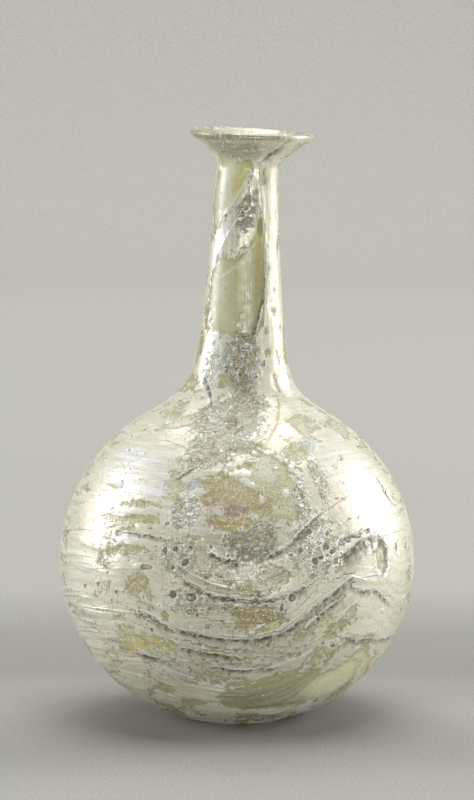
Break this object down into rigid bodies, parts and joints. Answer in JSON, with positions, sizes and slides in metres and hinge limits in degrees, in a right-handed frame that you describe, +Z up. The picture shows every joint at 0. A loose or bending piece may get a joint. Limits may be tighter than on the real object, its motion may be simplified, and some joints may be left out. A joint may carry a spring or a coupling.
{
  "type": "roman glass unguentarium",
  "caption": "Free-blown globular glass flask with a tall tapering neck, a funnel mouth, a flattened base and a flaking pearly weathering crust.",
  "frame": {"origin": "middle of the base, on the plane that the flask stands on, under the middle of the globe", "axes": "+Z up along the globe's axis, +X towards the side that the neck leans and the mouth dips, -Y towards the viewer"},
  "size_m": [0.0818, 0.0818, 0.1357],
  "materials": {
    "weathered_glass": "cloudy yellow-green glass under a flaking, pitted, silver-white iridescent weathering crust"
  },
  "bodies": {
    "root": {"flask": "weathered_glass"}
  },
  "joints": []
}
